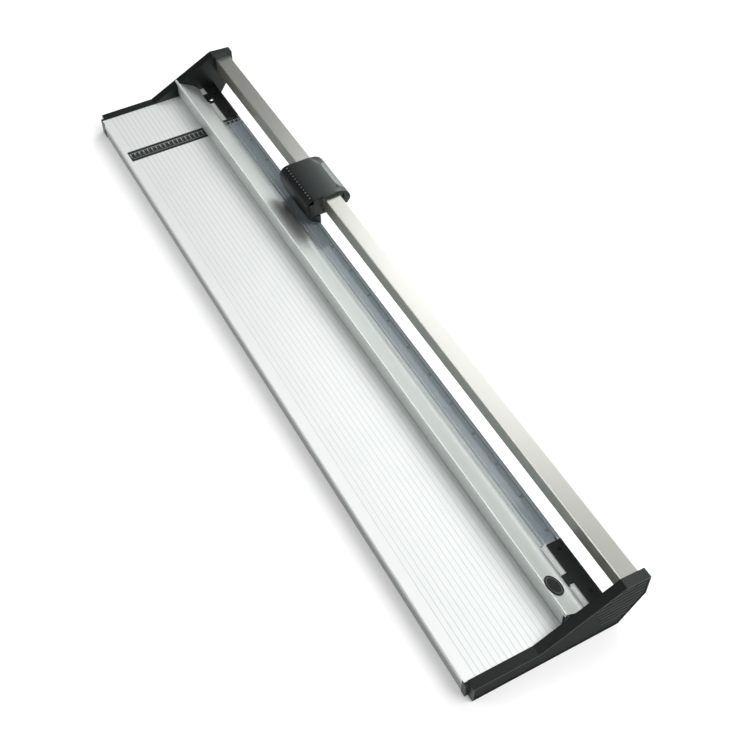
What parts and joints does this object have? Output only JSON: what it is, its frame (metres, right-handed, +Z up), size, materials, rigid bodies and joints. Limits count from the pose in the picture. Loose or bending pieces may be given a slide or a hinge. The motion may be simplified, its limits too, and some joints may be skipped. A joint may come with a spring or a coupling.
{
  "type": "rotary paper trimmer",
  "caption": "Long rotary paper trimmer: grooved table, sprung clamp bar with clear strip, and a cutting head sliding on a square rail between end brackets.",
  "frame": {"origin": "on the surface that the trimmer stands on, under the middle of its outline with the cutting head at its rest place", "axes": "+X along the cut towards the end without the scale, +Y away from the user, +Z up"},
  "size_m": [1.6, 0.349, 0.117],
  "materials": {
    "black_plastic": "fine textured black plastic",
    "grey_plastic": "moulded dark grey plastic",
    "rubber": "matt black rubber",
    "table_aluminium": "silver anodised, fine grooves",
    "bar_aluminium": "satin silver anodised",
    "rail_aluminium": "satin, warm silver",
    "plug_aluminium": "sawn",
    "blade_steel": "ground",
    "screw_steel": "zinc plated",
    "black_screws": "blackened",
    "chrome": "polished",
    "scale_black": "printed",
    "bush_brass": "turned",
    "clear_acrylic": "clear, faintly blue",
    "pad_plastic": "natural white",
    "grip_grey": "satin grey"
  },
  "bodies": {
    "frame": {"left_bracket": "black_plastic", "right_bracket": "black_plastic", "left_side_cover": "grey_plastic", "right_side_cover": "grey_plastic", "rubber_feet": "rubber", "baseboard": "table_aluminium", "left_corner_cap": "black_plastic", "right_corner_cap": "black_plastic", "counter_blade": "blade_steel", "counter_blade_screws": "screw_steel", "scale_strip": "scale_black", "left_end_rest": "black_plastic", "right_end_rest": "black_plastic", "end_rest_screws": "black_screws", "tab_stud": "chrome", "clamp_pin_bushes": "bush_brass", "guide_rail": "rail_aluminium", "rail_end_plugs": "plug_aluminium", "rail_bolts": "screw_steel", "baseboard_bolts": "screw_steel"},
    "clamp": {"clamp_bar": "bar_aluminium", "clear_strip": "clear_acrylic", "badge_plug": "black_plastic", "clamp_end_cap": "black_plastic", "clamp_guide_blocks": "black_plastic", "clamp_guide_pins": "screw_steel", "clamp_stop_clips": "screw_steel", "clamp_springs": "screw_steel"},
    "carriage": {"carriage_saddle": "grey_plastic", "glide_pads": "pad_plastic", "carriage_hood": "black_plastic", "grip_inlay": "grip_grey", "hood_screws": "screw_steel", "blade_housing": "black_plastic", "housing_screws": "screw_steel", "blade_axle": "screw_steel", "blade_spring_washer": "screw_steel", "left_roller_pin": "screw_steel", "right_roller_pin": "screw_steel"},
    "blade": {"rotary_blade": "blade_steel", "blade_hub": "screw_steel", "blade_bush": "bush_brass"},
    "left_roller": {"left_press_roller": "rubber"},
    "right_roller": {"right_press_roller": "rubber"}
  },
  "joints": [
    {"name": "carriage_slide", "type": "slide", "parent": "frame", "child": "carriage", "axis": [1, 0, 0], "range_m": [-0.42, 1.016]},
    {"name": "blade_spin", "type": "hinge", "parent": "carriage", "child": "blade", "pos_m": [-0.2984, 0.107, 0.0584], "axis": [0, 1, 0], "continuous": true},
    {"name": "left_roller_spin", "type": "hinge", "parent": "carriage", "child": "left_roller", "pos_m": [-0.3324, 0.09645, 0.05085], "axis": [0, 1, 0], "continuous": true},
    {"name": "right_roller_spin", "type": "hinge", "parent": "carriage", "child": "right_roller", "pos_m": [-0.2644, 0.09645, 0.05085], "axis": [0, 1, 0], "continuous": true},
    {"name": "clamp_press", "type": "slide", "parent": "frame", "child": "clamp", "axis": [0, 0, 1], "range_m": [-0.0009, 0], "stiffness_N_per_m": 1500, "springref_m": 0.014, "deforming": ["clamp_springs"]}
  ],
  "couplings": [
    {"joint": "blade_spin", "follows": "carriage_slide", "rad_per_m": 44.444},
    {"joint": "left_roller_spin", "follows": "carriage_slide", "rad_per_m": 111.11},
    {"joint": "right_roller_spin", "follows": "carriage_slide", "rad_per_m": 111.11}
  ]
}
